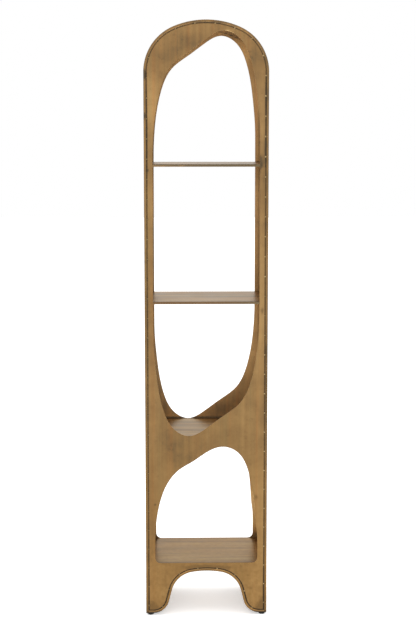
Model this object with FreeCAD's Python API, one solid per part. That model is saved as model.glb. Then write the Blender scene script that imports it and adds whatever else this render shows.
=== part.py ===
import FreeCAD, Part
import math
import os

# Tall storage rack with an arched head, in sheet and square bar with a brass finish.
# Millimetres. The origin is on the floor under the middle of the rack, +Z is up,
# X runs from left to right and Y from the front to the back.

# Overall sizes
width = 400.0
depth = 300.0
height = 1950.0

# Arch over the head: a flat crown arc between two tighter shoulder arcs, as shares of half the width
arch_crown_share = 1.35
arch_shoulder_share = 0.775

# Arch between the feet: crown, shoulder and toe arcs, as shares of the half span between the feet
foot_arch_height = 152.0
foot_flat = 24.5
foot_flank_lean = 14.4
foot_crown_share = 1.595
foot_shoulder_share = 0.473
foot_toe_share = 0.3

# Bars and sheets
bar = 8.0
bar_edge_radius = 2.0
wrap_sheet = 1.5
panel_sheet = 2.0
panel_recess = 1.5
groove = 3.5
panel_seat = 3.0

# Shelves: folded trays, the lowest over the foot bars, then a lower bay and two even ones
shelf_sheet = 1.5
shelf_lip = 8.0
shelf_fold_radius = 2.5
shelf_corner_clearance = 0.4
bottom_shelf_gap = 4.0
lower_bay = 429.3
bay = 443.4

# Tall cut-out of the panels, the same when turned half round
tall_strip = 16.0
tall_head_margin = 34.2
tall_sweep = 415.8

# Low cut-out of the panels, over the bottom shelf
low_strip = 19.5
low_head_margin = 36.3
low_sweep = 331.5
low_corner_radius = 18.0

# Each cut-out's flowing head, from its left side to its right, as shares of its half width and of its sweep
tall_head_shares = (
    (-1.0, 0.0),
    (-0.968, 0.289),
    (-0.856, 0.547),
    (-0.628, 0.742),
    (-0.315, 0.842),
    (0.0, 0.938),
    (0.333, 1.0),
    (0.622, 0.942),
    (0.806, 0.804),
    (0.913, 0.612),
    (0.976, 0.385),
    (1.0, 0.0),
)
low_head_shares = (
    (-1.0, 0.0),
    (-0.971, 0.253),
    (-0.89, 0.462),
    (-0.733, 0.65),
    (-0.499, 0.78),
    (-0.266, 0.851),
    (-0.033, 0.933),
    (0.317, 1.0),
    (0.589, 0.952),
    (0.746, 0.849),
    (0.852, 0.679),
    (0.938, 0.431),
    (0.976, 0.172),
    (1.0, 0.0),
)

# Tack welds across the groove
tack_pitch = 64.5
tack_diameter = 6.5

# Screw feet, one near each bottom corner
foot_height = 8.0
foot_from_side = 15.0
foot_from_front = 16.0
foot_travel = 10.0
knob_diameter = 22.0
knob_edge_radius = 1.5
sole_diameter = 18.0
sole_thickness = 1.5
spigot_diameter = 4.0
spigot_length = 2.5
spigot_end_gap = 0.5
stud_diameter = 6.0
stud_spare = 3.0
stud_chamfer = 1.0
hex_flats = 10.0
stud_head_height = 4.0
nut_height = 5.0
turning_clearance = 0.05
sheet_hole_clearance = 0.5

# Cuts run past the faces that they open by this much
overrun = 1.0

# Places that follow from the sizes
half_width = width / 2
half_depth = depth / 2
front = -half_depth
panel_inset = bar + groove
seat_inset = panel_inset + panel_seat
rebate = panel_recess + panel_sheet
panel_inside = half_depth - rebate
bottom_shelf_height = foot_arch_height + seat_inset + bottom_shelf_gap + shelf_lip
third_shelf_height = bottom_shelf_height + lower_bay
second_shelf_height = third_shelf_height + bay
top_shelf_height = second_shelf_height + bay
up = FreeCAD.Vector(0, 0, 1)
rearward = FreeCAD.Vector(0, 1, 0)

# Centres of the head's arcs; the spring line is where the arch meets the straight sides
arch_crown_radius = arch_crown_share * half_width
arch_shoulder_radius = arch_shoulder_share * half_width
arch_crown_z = height - arch_crown_radius
arch_shoulder_x = half_width - arch_shoulder_radius
spring = arch_crown_z + math.sqrt((arch_crown_radius - arch_shoulder_radius) ** 2 - arch_shoulder_x ** 2)


def place(x, z, y=0):
    """A point of the rack, given across, up and then back."""
    return FreeCAD.Vector(x, y, z)


def mirrored(spot):
    """The same spot on the rack's other side."""
    return place(-spot.x, spot.z, spot.y)


def direction(across, rise):
    """A direction in the front's plane, one long."""
    return place(across, rise).normalize()


def arc(start, middle, end):
    """An arc through three points."""
    return Part.Arc(start, middle, end).toShape()


def line(start, end):
    """A straight edge."""
    return Part.makeLine(start, end)


def face_of(edges):
    """The flat face inside a closed loop of edges."""
    return Part.Face(Part.Wire(Part.__sortEdges__(edges)))


def block(low, high):
    """A box between two corners."""
    size = high - low
    return Part.makeBox(size.x, size.y, size.z, low)


def arch_path(inset):
    """The head's arcs from the left spring to the right one, set in from the outline."""
    crown = place(0, arch_crown_z)
    shoulder = place(arch_shoulder_x, spring)
    lean = direction(arch_shoulder_x, spring - arch_crown_z)
    foot = place(half_width - inset, spring)
    join = crown + lean * (arch_crown_radius - inset)
    across = direction(half_width, 0)
    middle = shoulder + (across + lean).normalize() * (arch_shoulder_radius - inset)
    top = place(0, height - inset)
    return [
        arc(mirrored(foot), mirrored(middle), mirrored(join)),
        arc(mirrored(join), top, join),
        arc(join, middle, foot),
    ]


def foot_path(inset, reach):
    """The underside from one reach to the other: flat foot, toe, leaning flank, shoulder and crown arcs."""
    span = half_width - foot_flat
    crown_radius = foot_crown_share * span
    shoulder_radius = foot_shoulder_share * span
    toe_radius = foot_toe_share * span
    lean = math.radians(foot_flank_lean)
    inward = direction(-math.cos(lean), -math.sin(lean))
    climb = direction(-math.sin(lean), math.cos(lean))
    crown = place(0, foot_arch_height - crown_radius)
    toe = place(span, foot_height + toe_radius)
    start = toe + inward * (toe_radius + shoulder_radius)
    along = (start - crown).dot(climb)
    short = (start - crown).dot(start - crown) - (crown_radius - shoulder_radius) ** 2
    shoulder = start + climb * (math.sqrt(along ** 2 - short) - along)
    lift = (shoulder - crown).normalize()
    outer_end = place(reach, foot_height + inset)
    toe_start = place(span, foot_height + inset)
    toe_middle = toe + (inward - up).normalize() * (toe_radius - inset)
    flank_foot = toe + inward * (toe_radius - inset)
    flank_head = shoulder - inward * (shoulder_radius + inset)
    shoulder_middle = shoulder + (lift - inward).normalize() * (shoulder_radius + inset)
    join = crown + lift * (crown_radius + inset)
    top = place(0, foot_arch_height + inset)
    half = [
        (outer_end, None, toe_start),
        (toe_start, toe_middle, flank_foot),
        (flank_foot, None, flank_head),
        (flank_head, shoulder_middle, join),
    ]
    edges = [arc(join, top, mirrored(join))]
    for begin, middle, end in half:
        if middle is None:
            edges.append(line(begin, end))
            edges.append(line(mirrored(begin), mirrored(end)))
        else:
            edges.append(arc(begin, middle, end))
            edges.append(arc(mirrored(begin), mirrored(middle), mirrored(end)))
    return edges


def outline_edges(inset):
    """The whole front outline, set in by the same amount all round."""
    side_top = place(half_width - inset, spring)
    side_foot = place(half_width - inset, foot_height + inset)
    sides = [line(side_foot, side_top), line(mirrored(side_foot), mirrored(side_top))]
    return arch_path(inset) + sides + foot_path(inset, half_width - inset)


def arch_band(outside, inside):
    """The face between the head's arcs at one inset from the outline and at a larger one."""
    outer = place(half_width - outside, spring)
    inner = place(half_width - inside, spring)
    ends = [line(outer, inner), line(mirrored(outer), mirrored(inner))]
    return face_of(arch_path(outside) + arch_path(inside) + ends)


def foot_band(outside, inside, reach):
    """The face between the underside's path at one inset from the outline and at a larger one."""
    outer = place(reach, foot_height + outside)
    inner = place(reach, foot_height + inside)
    ends = [line(outer, inner), line(mirrored(outer), mirrored(inner))]
    return face_of(foot_path(outside, reach) + foot_path(inside, reach) + ends)


def set_back(face, start, thickness):
    """A face of the front's plane, made a solid that starts at a depth and runs back."""
    solid = face.extrude(rearward * thickness)
    solid.translate(rearward * start)
    return solid


def rounded_front(solid):
    """A bar with its long front edges rounded and its butt ends left sharp."""
    edges = []
    for edge in solid.Edges:
        box = edge.BoundBox
        on_front = box.YMax - front < bar / 2
        if on_front and edge.Length > bar + bar_edge_radius:
            edges.append(edge)
    return solid.makeFillet(bar_edge_radius, edges)


def rebated(solid, seat):
    """A bar in one piece with the ledge behind its front, which the panel lies on."""
    return rounded_front(solid).fuse(seat).removeSplitter()


def upright():
    """A straight bar at the front's left corner, from the foot to the spring; its ledge starts over the foot bar."""
    low = place(-half_width, foot_height, front)
    high = place(-half_width + bar, spring, front + bar)
    seat_low = place(-half_width + bar, foot_height + bar, front + rebate)
    seat_high = place(-half_width + seat_inset, spring, front + bar)
    return rebated(block(low, high), block(seat_low, seat_high))


def arch_bar():
    """The bar bent over the head, butted on the uprights."""
    seat = set_back(arch_band(bar, seat_inset), front + rebate, bar - rebate)
    return rebated(set_back(arch_band(0, bar), front, bar), seat)


def foot_bar():
    """The bar bent round the arch between the feet, butted between the uprights."""
    seat = set_back(foot_band(bar, seat_inset, half_width - seat_inset), front + rebate, bar - rebate)
    return rebated(set_back(foot_band(0, bar, half_width - bar), front, bar), seat)


def side_sheet():
    """The left side's sheet, between the front and back uprights."""
    low = place(-half_width, foot_height, front + bar)
    high = place(-half_width + wrap_sheet, spring, half_depth - bar)
    return block(low, high)


def arch_sheet():
    """The sheet over the head, between the arch bars."""
    return set_back(arch_band(0, wrap_sheet), front + bar, depth - 2 * bar)


def foot_places():
    """The four screw feet's places, by name."""
    x = half_width - foot_from_side
    y = half_depth - foot_from_front
    return {
        "front_left": place(-x, 0, -y),
        "front_right": place(x, 0, -y),
        "back_left": place(-x, 0, y),
        "back_right": place(x, 0, y),
    }


def foot_sheet():
    """The sheet that closes the underside, with a hole over each screw foot."""
    sheet = set_back(foot_band(0, wrap_sheet, half_width - wrap_sheet), front + bar, depth - 2 * bar)
    radius = stud_diameter / 2 + sheet_hole_clearance
    for spot in foot_places().values():
        sheet = sheet.cut(Part.makeCylinder(radius, foot_height + wrap_sheet + overrun, spot, up))
    return sheet


def head_curve(shares, half_span, start, sweep):
    """The flowing head of a cut-out, upright at both of its ends."""
    points = [place(across * half_span, start + rise * sweep) for across, rise in shares]
    curve = Part.BSplineCurve()
    curve.interpolate(Points=points, InitialTangent=up, FinalTangent=-up)
    return curve.toShape()


def tall_cut_out():
    """The tall cut-out's face: its foot is its head turned half round."""
    half_span = half_width - panel_inset - tall_strip
    peak = height - tall_head_margin
    middle = place(0, (peak + third_shelf_height) / 2)
    head = head_curve(tall_head_shares, half_span, peak - tall_sweep, tall_sweep)
    foot = head.copy()
    foot.rotate(middle, rearward, 180)
    top = place(half_span, peak - tall_sweep)
    bottom = place(half_span, third_shelf_height + tall_sweep)
    sides = [line(bottom, top), line(mirrored(bottom), mirrored(top))]
    return face_of([head, foot] + sides)


def low_cut_out():
    """The low cut-out's face: a flowing head over a flat foot with round corners."""
    half_span = half_width - panel_inset - low_strip
    peak = third_shelf_height - low_head_margin
    head = head_curve(low_head_shares, half_span, peak - low_sweep, low_sweep)
    top = place(half_span, peak - low_sweep)
    corner = place(half_span - low_corner_radius, bottom_shelf_height + low_corner_radius)
    side_foot = corner + direction(half_span, 0) * low_corner_radius
    corner_middle = corner + direction(half_span, -half_span) * low_corner_radius
    floor_end = corner - up * low_corner_radius
    edges = [head, line(floor_end, mirrored(floor_end))]
    edges += [line(top, side_foot), line(mirrored(top), mirrored(side_foot))]
    edges.append(arc(side_foot, corner_middle, floor_end))
    edges.append(arc(mirrored(side_foot), mirrored(corner_middle), mirrored(floor_end)))
    return face_of(edges)


def panel():
    """The front sheet, lying in the bars' rebate with the groove all round, with its two cut-outs."""
    start = front + panel_recess
    sheet = set_back(face_of(outline_edges(panel_inset)), start, panel_sheet)
    for opening in (tall_cut_out(), low_cut_out()):
        sheet = sheet.cut(set_back(opening, start - overrun, panel_sheet + 2 * overrun))
    return sheet


def tack_welds():
    """The spots of weld that bridge the groove between the front bars and the panel."""
    start = front + panel_recess
    gap = set_back(face_of(outline_edges(bar)), start, panel_sheet)
    gap = gap.cut(set_back(face_of(outline_edges(panel_inset)), start - overrun, panel_sheet + 2 * overrun))
    route = Part.Wire(Part.__sortEdges__(outline_edges(bar + groove / 2)))
    count = round(route.Length / tack_pitch)
    pins = []
    for spot in route.discretize(Number=count + 1)[:count]:
        foot = place(spot.x, spot.z, start - overrun)
        pins.append(Part.makeCylinder(tack_diameter / 2, panel_sheet + 2 * overrun, foot, rearward))
    return gap.common(Part.Compound(pins))


def folded_block(low, high, radius):
    """A block with its four top edges rounded, as the outside or the inside of folds in sheet."""
    solid = block(low, high)
    edges = [edge for edge in solid.Edges if edge.BoundBox.ZMin > high.z - radius]
    return solid.makeFillet(radius, edges)


def shelf(top):
    """A shelf folded down at its four edges, notched round the uprights."""
    x = half_width - wrap_sheet
    y = panel_inside
    tray = folded_block(place(-x, top - shelf_lip, -y), place(x, top, y), shelf_fold_radius)
    hollow_low = place(shelf_sheet - x, top - shelf_lip - overrun, shelf_sheet - y)
    hollow_high = place(x - shelf_sheet, top - shelf_sheet, y - shelf_sheet)
    tray = tray.cut(folded_block(hollow_low, hollow_high, shelf_fold_radius - shelf_sheet))
    notch_x = half_width - seat_inset - shelf_corner_clearance
    notch_y = half_depth - bar - shelf_corner_clearance
    notch_low = place(notch_x, top - shelf_lip - overrun, notch_y)
    notch = block(notch_low, place(x + overrun, top + overrun, y + overrun))
    for turned in (notch, across(notch)):
        tray = tray.cut(turned).cut(behind(turned))
    return tray


def across(solid):
    """The solid's twin on the rack's other side."""
    return solid.mirror(place(0, 0), direction(1, 0))


def behind(solid):
    """The solid's twin at the rack's back."""
    return solid.mirror(place(0, 0), rearward)


def hexagon(spot, bottom, tall):
    """A six-sided prism over a foot's place."""
    radius = hex_flats / math.sqrt(3)
    corners = []
    for side in range(7):
        turn = math.radians(60 * side)
        corners.append(place(spot.x + radius * math.cos(turn), bottom, spot.y + radius * math.sin(turn)))
    return Part.Face(Part.makePolygon(corners)).extrude(up * tall)


def post(spot, bottom, top, diameter):
    """An upright cylinder over a foot's place."""
    return Part.makeCylinder(diameter / 2, top - bottom, place(spot.x, bottom, spot.y), up)


def weld_nut(spot):
    """The nut on the foot sheet that the stud screws into."""
    bottom = foot_height + wrap_sheet
    bore = stud_diameter + 2 * turning_clearance
    nut = hexagon(spot, bottom, nut_height)
    return nut.cut(post(spot, bottom - overrun, bottom + nut_height + overrun, bore))


def foot_stud(spot):
    """The hex-head screw, long enough to stay in its nut at the end of its travel."""
    top = foot_height + wrap_sheet + nut_height + foot_travel + stud_spare
    head_top = sole_thickness + stud_head_height
    shank = post(spot, head_top, top, stud_diameter)
    tip = [edge for edge in shank.Edges if edge.BoundBox.ZMin > top - stud_chamfer]
    shank = shank.makeChamfer(stud_chamfer, tip)
    stud = hexagon(spot, sole_thickness, stud_head_height).fuse(shank)
    socket_top = sole_thickness + spigot_length + spigot_end_gap
    socket = spigot_diameter + 2 * turning_clearance
    return stud.cut(post(spot, sole_thickness - overrun, socket_top, socket)).removeSplitter()


def foot_knob(spot):
    """The round black foot, turned by hand, seated against the foot sheet when it is screwed home."""
    knob = post(spot, sole_thickness, foot_height, knob_diameter)
    rim = [edge for edge in knob.Edges if edge.BoundBox.ZMax < sole_thickness + knob_edge_radius]
    knob = knob.makeFillet(knob_edge_radius, rim)
    pocket = hexagon(spot, sole_thickness - overrun, stud_head_height + overrun)
    hole = post(spot, sole_thickness - overrun, foot_height + overrun, stud_diameter)
    return knob.cut(pocket).cut(hole)


def foot_sole(spot):
    """The disc that stays still on the floor, with a spigot for the stud to turn on."""
    disc = post(spot, 0, sole_thickness, sole_diameter)
    spigot = post(spot, sole_thickness, sole_thickness + spigot_length, spigot_diameter)
    return disc.fuse(spigot)


def rack():
    """Every piece of the rack, by name."""
    pieces = {}
    front_pieces = {
        "left_upright": upright(),
        "right_upright": across(upright()),
        "arch_bar": arch_bar(),
        "foot_bar": foot_bar(),
        "panel": panel(),
        "tack_welds": tack_welds(),
    }
    for name, solid in front_pieces.items():
        pieces["front_" + name] = solid
        pieces["back_" + name] = behind(solid)
    pieces["left_side_sheet"] = side_sheet()
    pieces["right_side_sheet"] = across(side_sheet())
    pieces["arch_sheet"] = arch_sheet()
    pieces["foot_sheet"] = foot_sheet()
    pieces["top_shelf"] = shelf(top_shelf_height)
    pieces["second_shelf"] = shelf(second_shelf_height)
    pieces["third_shelf"] = shelf(third_shelf_height)
    pieces["bottom_shelf"] = shelf(bottom_shelf_height)
    for corner, spot in foot_places().items():
        pieces[corner + "_weld_nut"] = weld_nut(spot)
        pieces[corner + "_foot_stud"] = foot_stud(spot)
        pieces[corner + "_foot_knob"] = foot_knob(spot)
        pieces[corner + "_foot_sole"] = foot_sole(spot)
    return pieces


os.makedirs("parts", exist_ok=True)
for node, shape in rack().items():
    print(node, len(shape.Solids), shape.isValid(), round(shape.Volume))
    shape.exportStep("parts/" + node + ".step")
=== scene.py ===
import logging
import math
from collections.abc import Callable
from dataclasses import dataclass
from enum import Enum
from functools import reduce
from typing import ClassVar

import bmesh
import bpy
from mathutils import Matrix, Vector, noise


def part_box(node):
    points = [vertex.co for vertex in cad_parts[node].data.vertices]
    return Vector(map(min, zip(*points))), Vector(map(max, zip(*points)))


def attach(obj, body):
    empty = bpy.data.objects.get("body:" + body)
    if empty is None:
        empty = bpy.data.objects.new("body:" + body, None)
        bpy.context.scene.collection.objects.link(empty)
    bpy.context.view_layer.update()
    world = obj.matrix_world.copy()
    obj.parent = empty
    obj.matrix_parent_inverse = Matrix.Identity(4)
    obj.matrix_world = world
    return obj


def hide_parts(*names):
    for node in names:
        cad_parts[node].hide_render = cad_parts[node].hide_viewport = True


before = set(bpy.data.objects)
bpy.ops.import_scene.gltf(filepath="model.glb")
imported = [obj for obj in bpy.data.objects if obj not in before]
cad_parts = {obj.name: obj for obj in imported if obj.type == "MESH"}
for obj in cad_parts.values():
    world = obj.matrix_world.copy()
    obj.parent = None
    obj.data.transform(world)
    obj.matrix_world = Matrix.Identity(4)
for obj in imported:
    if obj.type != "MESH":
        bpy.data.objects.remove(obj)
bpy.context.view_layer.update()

RACK = "rack"
FACES = ("front", "back")
RIM = ("left_upright", "right_upright", "arch_bar", "foot_bar")
SHEETS = ("left_side_sheet", "right_side_sheet", "arch_sheet", "foot_sheet")
SHELVES = ("top_shelf", "second_shelf", "third_shelf", "bottom_shelf")
CORNERS = ("front_left", "front_right", "back_left", "back_right")
SEED = 7
MM = 0.001
DOUBLES = 0.00001  # points nearer than this are merged, in metres
LEVEL = 0.99  # a face whose normal's Z is beyond this is level
QUAD = 4  # corners of a face in a cylinder's wall
RIM_STEPS = 2  # steps in a rounded rim

Triple = tuple[float, float, float]
Colour = tuple[float, float, float, float]
Pair = tuple[float, float]
Row = tuple[float, ...]
Piece = bpy.types.Object
Material = bpy.types.Material
Socket = bpy.types.NodeSocket
Outputs = bpy.types.NodeOutputs
Feed = float | int | tuple | Socket

log = logging.getLogger(RACK)


class Grain(Enum):
    """Which way the brushing runs: streaks per metre along X, Y and Z."""

    UPRIGHT = (230.0, 230.0, 5.0)
    ACROSS = (5.0, 70.0, 70.0)


class Slot(Enum):
    """The record's material slots meant for the new pieces; this script gives them to none."""

    WELD = "tack_weld"
    ZINC = "zinc_steel"
    PLASTIC = "black_plastic"
    RUBBER = "black_rubber"


class Nodes:
    """A node tree, with short ways to add nodes to it."""

    def __init__(self, tree: bpy.types.NodeTree) -> None:
        """Keeps the tree."""
        self.tree = tree

    def feed(self, node: bpy.types.Node, feeds: dict[str | int, Feed]) -> None:
        """Links a node's inputs to other sockets, or sets them to constants.

        Args:
            node: The node.
            feeds: The sockets or constants, by the input's name or place.
        """
        for key, value in feeds.items():
            if isinstance(value, Socket):
                self.tree.links.new(value, node.inputs[key])
            else:
                node.inputs[key].default_value = value

    def add(self, kind: str, feeds: dict[str | int, Feed] | None = None, **options: object) -> bpy.types.Node:
        """Adds a node, sets its options, then feeds its inputs.

        Args:
            kind: The node's type.
            feeds: What feeds its inputs.
            **options: Attributes of the node.

        Returns:
            The new node.
        """
        node = self.tree.nodes.new(kind)
        for key, value in options.items():
            setattr(node, key, value)
        self.feed(node, feeds or {})
        return node

    def math(self, operation: str, a: Feed, b: Feed) -> Socket:
        """Puts two values through a maths node."""
        return self.add("ShaderNodeMath", {0: a, 1: b}, operation=operation).outputs[0]

    def vector(self, operation: str, *terms: Feed) -> Socket:
        """Puts one or two vectors through a node, whose result is a value for a length or a dot product."""
        node = self.add("ShaderNodeVectorMath", dict(enumerate(terms)), operation=operation)
        return node.outputs["Value" if operation in ("LENGTH", "DOT_PRODUCT") else "Vector"]

    def facing(self, vector: Feed) -> Socket:
        """How far a vector runs along the face's normal."""
        return self.vector("DOT_PRODUCT", vector, self.add("ShaderNodeNewGeometry").outputs["Normal"])

    def total(self, *terms: Feed) -> Socket:
        """Adds two or more values together."""
        return reduce(lambda a, b: self.math("ADD", a, b), terms)

    def times(self, a: Feed, b: Feed) -> Socket:
        """Multiplies two constants or sockets."""
        return self.math("MULTIPLY", a, b)

    def lack(self, value: Feed) -> Socket:
        """What a value lacks to 1."""
        return self.math("SUBTRACT", 1.0, value)

    def centred(self, value: Feed, swing: Feed) -> Socket:
        """Turns a 0 to 1 pattern into one that swings about zero."""
        return self.times(self.math("SUBTRACT", value, 0.5), swing)

    def ramp(self, value: Feed, low: Feed, high: Feed, to_low: Feed = 0.0, to_high: Feed = 1.0) -> Socket:
        """Maps the range from low to high smoothly to the one from to_low to to_high."""
        feeds = {0: value, 1: low, 2: high, 3: to_low, 4: to_high}
        return self.add("ShaderNodeMapRange", feeds, interpolation_type="SMOOTHSTEP").outputs[0]

    def blend(self, share: Feed, a: Feed, b: Feed) -> Socket:
        """Mixes two colours, the second one by the share."""
        return self.add("ShaderNodeMix", {0: share, 6: a, 7: b}, data_type="RGBA").outputs[2]

    def speckle(self, vector: Feed, scale: Feed, detail: float, rough: float = 0.55) -> Socket:
        """Draws cloudy noise from 0 to 1: clouds per unit, how many finer layers and how strong they are."""
        feeds = {"Vector": vector, "Scale": scale, "Detail": detail, "Roughness": rough}
        return self.add("ShaderNodeTexNoise", feeds).outputs[0]


class Surface(Nodes):
    """A material in the making: its nodes, its shader and the object coordinates."""

    def __init__(self, name: str) -> None:
        """Starts the material.

        Args:
            name: The material's name.
        """
        self.material = bpy.data.materials.new(name)
        self.material.use_nodes = True
        super().__init__(self.material.node_tree)
        self.shader = self.tree.nodes["Principled BSDF"]
        self.place = self.add("ShaderNodeTexCoord").outputs["Object"]

    def bumps(self, height: Feed, strength: float, rise: float) -> Socket:
        """Turns heights from 0 to 1 into normals; the rise is in metres."""
        feeds = {"Strength": strength, "Distance": rise, "Height": height}
        return self.add("ShaderNodeBump", feeds).outputs[0]

    def finish(self, feeds: dict[str, Feed]) -> Material:
        """Feeds the shader and returns the material."""
        self.feed(self.shader, feeds)
        return self.material


class Effect:
    """A surface effect that several finishes share, kept as one node group."""

    name: ClassVar[str] = ""
    inputs: ClassVar[dict[str, Feed]] = {}  # its inputs, with what each is if nothing feeds it
    outputs: ClassVar[tuple[str, ...]] = ("Mask",)  # its outputs, which are all values

    def draw(self, nodes: Nodes, given: Outputs) -> dict[str, Socket]:
        """Draws the group's nodes from what it is given, and returns the socket for each output."""
        raise NotImplementedError

    def group(self) -> bpy.types.NodeTree:
        """Finds the effect's group, or builds it the first time.

        Returns:
            The group's tree.
        """
        tree = bpy.data.node_groups.get(self.name)
        if tree:
            return tree
        tree = bpy.data.node_groups.new(self.name, "ShaderNodeTree")
        for label, value in self.inputs.items():
            kind = "NodeSocketVector" if isinstance(value, tuple) else "NodeSocketFloat"
            socket = tree.interface.new_socket(label, in_out="INPUT", socket_type=kind)
            socket.default_value = value
        for label in self.outputs:
            tree.interface.new_socket(label, in_out="OUTPUT", socket_type="NodeSocketFloat")
        nodes = Nodes(tree)
        given = nodes.add("NodeGroupInput").outputs
        nodes.add("NodeGroupOutput", self.draw(nodes, given))
        return tree

    def place(self, sheet: Surface, **feeds: Feed) -> Outputs:
        """Places the effect in a material, where its Vector is the object coordinates."""
        where = {"Vector": sheet.place} if "Vector" in self.inputs else {}
        return sheet.add("ShaderNodeGroup", where | feeds, node_tree=self.group()).outputs

    def mask(self, sheet: Surface, **feeds: Feed) -> Socket:
        """Places the effect in a material and takes its mask."""
        return self.place(sheet, **feeds)["Mask"]


class BrushedGrain(Effect):
    """Long soft streaks with fine hairlines in them."""

    name = "Brushed grain"
    inputs = {"Vector": (0, 0, 0), "Density": (1, 1, 1)}
    outputs = ("Streak", "Hair")
    # Scale, detail and roughness of each layer.
    layers: ClassVar[tuple[Row, ...]] = ((0.35, 4.0, 0.65), (5.0, 2.0, 0.55))

    def draw(self, nodes: Nodes, given: Outputs) -> dict[str, Socket]:
        """Draws two layers of noise, stretched along the brushing."""
        spread = nodes.vector("MULTIPLY", given["Vector"], given["Density"])
        return {label: nodes.speckle(spread, *layer) for label, layer in zip(self.outputs, self.layers)}


class Patina(Effect):
    """Uneven tone of a hand-finished plating: wide drifts, blotches and specks."""

    name = "Patina"
    inputs = {"Vector": (0, 0, 0), "Drift size": 0.2, "Blotch size": 0.045, "Speck size": 0.004}
    outputs = ("Drift", "Blotch", "Speck")
    # Detail and roughness of each layer.
    layers: ClassVar[tuple[Row, ...]] = ((2.0, 0.5), (4.0, 0.62), (2.0, 0.5))

    def draw(self, nodes: Nodes, given: Outputs) -> dict[str, Socket]:
        """Draws one noise for each of the three sizes.

        Args:
            nodes: The group's nodes.
            given: What the group is given.

        Returns:
            The three patterns.
        """
        drawn = {}
        for label, layer in zip(self.outputs, self.layers):
            scale = nodes.math("DIVIDE", 1.0, given[f"{label} size"])
            drawn[label] = nodes.speckle(given["Vector"], scale, *layer)
        return drawn


class SoftMark(Effect):
    """One mark with a soft, ragged edge, for heat marks, stains and painted patches of light and shade."""

    name = "Soft mark"
    inputs = {"Vector": (0, 0, 0), "Centre": (0, 0, 0), "Reach": (1, 1, 1), "Ragged": 0.6, "Grit": 90.0}
    detail: ClassVar[float] = 3.0

    def draw(self, nodes: Nodes, given: Outputs) -> dict[str, Socket]:
        """Draws an ellipsoid's fading inside, its distance stirred by noise.

        Args:
            nodes: The group's nodes.
            given: What the group is given.

        Returns:
            The mark's mask.
        """
        away = nodes.vector("SUBTRACT", given["Vector"], given["Centre"])
        far = nodes.vector("LENGTH", nodes.vector("DIVIDE", away, given["Reach"]))
        stir = nodes.speckle(given["Vector"], given["Grit"], self.detail)
        ragged = nodes.total(far, nodes.centred(stir, given["Ragged"]))
        return {"Mask": nodes.ramp(ragged, 0.0, 1.0, 1.0, 0.0)}


class EdgeWear(Effect):
    """Where a corner is, found from a normal rounded a little: the plating there is rubbed."""

    name = "Edge wear"
    inputs = {"Radius": 0.0015, "Start": 0.02, "Full": 0.2}
    samples: ClassVar[int] = 6

    def draw(self, nodes: Nodes, given: Outputs) -> dict[str, Socket]:
        """Compares the rounded normal with the face's own."""
        rounded = nodes.add("ShaderNodeBevel", {"Radius": given["Radius"]}, samples=self.samples).outputs[0]
        return {"Mask": nodes.ramp(nodes.lack(nodes.facing(rounded)), given["Start"], given["Full"])}


class Crevice(Effect):
    """Where pieces meet and dark patina gathers."""

    name = "Crevice"
    inputs = {"Distance": 0.008, "Start": 0.15, "Full": 0.7}
    samples: ClassVar[int] = 8

    def draw(self, nodes: Nodes, given: Outputs) -> dict[str, Socket]:
        """Turns how closed in a point is into a mask."""
        shut = nodes.add("ShaderNodeAmbientOcclusion", {"Distance": given["Distance"]}, samples=self.samples)
        return {"Mask": nodes.ramp(nodes.lack(shut.outputs["AO"]), given["Start"], given["Full"])}


class Inward(Effect):
    """Which faces look in towards the rack's middle."""

    name = "Inward"
    inputs = {"Vector": (0, 0, 0), "Middle": (0, 0, 1)}
    start: ClassVar[float] = 0.05

    def draw(self, nodes: Nodes, given: Outputs) -> dict[str, Socket]:
        """Compares the face's normal with the way out from the middle."""
        out = nodes.facing(nodes.vector("SUBTRACT", given["Vector"], given["Middle"]))
        return {"Mask": nodes.ramp(out, -2 * self.start, -self.start, 1.0, 0.0)}


@dataclass(frozen=True)
class Mark:
    """One placed mark on the plating; the marks are stains, heat marks and grime, and also painted patches of
    light and shade.
    """

    centre: Triple  # its middle, in metres
    reach: Triple  # how far it spreads along X, Y and Z
    lift: float  # how much it lightens the tone, or darkens it if negative
    ragged: float  # how uneven its edge is
    grit: float = 90.0  # fineness of the unevenness, per metre
    inside: bool = False  # whether only the faces that look in take it


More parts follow.
